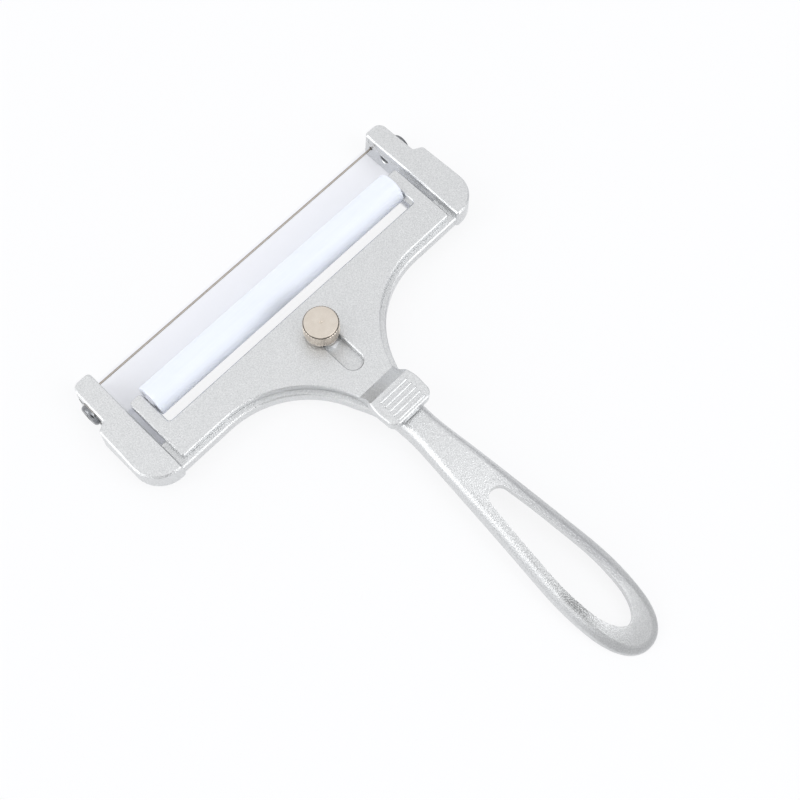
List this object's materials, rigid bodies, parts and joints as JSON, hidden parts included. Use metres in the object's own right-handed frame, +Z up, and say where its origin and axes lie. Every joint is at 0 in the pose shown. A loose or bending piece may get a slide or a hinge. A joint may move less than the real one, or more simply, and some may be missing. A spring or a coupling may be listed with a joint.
{
  "type": "cheese slicer",
  "caption": "Wire cheese slicer: cast frame with looped handle, taut cutting wire, and a sliding carriage whose free roller sets the slice thickness, locked by a knurled thumb screw.",
  "frame": {"origin": "centre of the footprint, on the surface that the tool lies on", "axes": "+X along the cutting wire, +Y from the handle towards the wire, +Z up, away from the table"},
  "size_m": [0.1614, 0.2026, 0.0205],
  "materials": {
    "cast_satin_silver": "satin silver, fine pearly grain",
    "roller_white": "satin white",
    "plug_grey": "moulded",
    "bright_steel": "drawn or ground stainless",
    "nickel": "turned and nickel plated"
  },
  "bodies": {
    "frame": {"frame": "cast_satin_silver", "lock_insert": "bright_steel", "cutting_wire": "bright_steel", "wire_screw_left": "nickel", "wire_screw_right": "nickel", "wire_washer_left": "bright_steel", "wire_washer_right": "bright_steel"},
    "carriage": {"carriage": "cast_satin_silver", "roller_axle": "bright_steel"},
    "roller": {"roller_tube": "roller_white", "roller_plug_left": "plug_grey", "roller_plug_right": "plug_grey"},
    "lock_washer": {"lock_washer": "bright_steel"},
    "lock_screw": {"lock_screw": "nickel"}
  },
  "joints": [
    {"name": "carriage_slide", "type": "slide", "parent": "frame", "child": "carriage", "axis": [0, 1, 0], "range_m": [0, 0.012]},
    {"name": "roller_spin", "type": "hinge", "parent": "carriage", "child": "roller", "pos_m": [0, 0.0781, 0.0107], "axis": [1, 0, 0], "continuous": true},
    {"name": "lock_lift", "type": "slide", "parent": "frame", "child": "lock_washer", "axis": [0, 0, 1], "range_m": [0, 0.0012]},
    {"name": "lock_turn", "type": "hinge", "parent": "lock_washer", "child": "lock_screw", "pos_m": [0, 0.0544, 0.016], "axis": [0, 0, 1], "range_deg": [0, 541]}
  ],
  "couplings": [
    {"joint": "lock_turn", "follows": "lock_lift", "rad_per_m": 7854}
  ]
}
